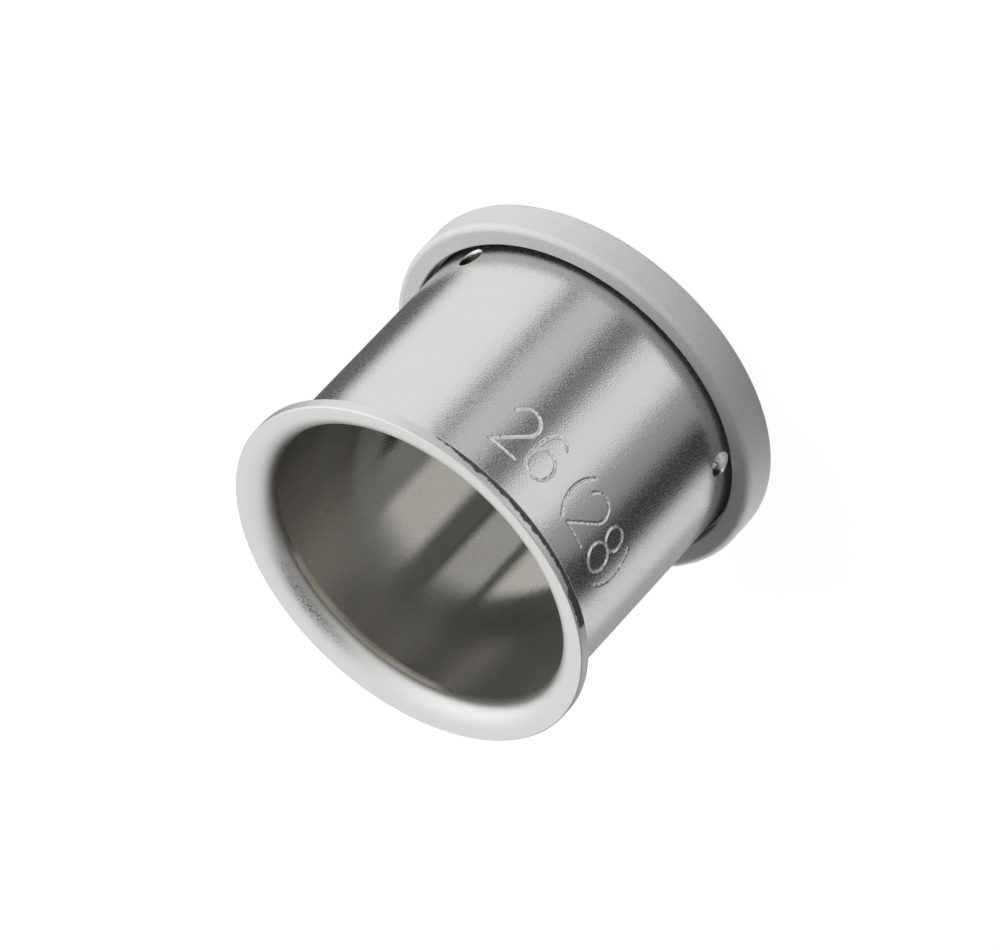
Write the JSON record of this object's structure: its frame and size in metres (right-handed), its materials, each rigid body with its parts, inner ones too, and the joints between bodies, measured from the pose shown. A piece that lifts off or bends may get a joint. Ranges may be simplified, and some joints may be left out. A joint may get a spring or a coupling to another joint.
{
  "type": "press fitting ring",
  "caption": "Thin stainless press sleeve with a flared mouth and round sight holes, held at its rear end in a flat grey plastic ring.",
  "frame": {"origin": "middle of the flat back face of the plastic ring, which the part stands on", "axes": "+Z along the axis of the sleeve, from the plastic ring to the flared mouth; -Y towards the middle of the marking; +X completes the right-handed frame"},
  "size_m": [0.032, 0.032, 0.025],
  "materials": {
    "stainless_steel": "satin, fine-grained, with a paler frosted lip",
    "grey_plastic": "matte, fine moulded grain"
  },
  "bodies": {
    "root": {"press_sleeve": "stainless_steel", "fixing_ring": "grey_plastic"}
  },
  "joints": []
}
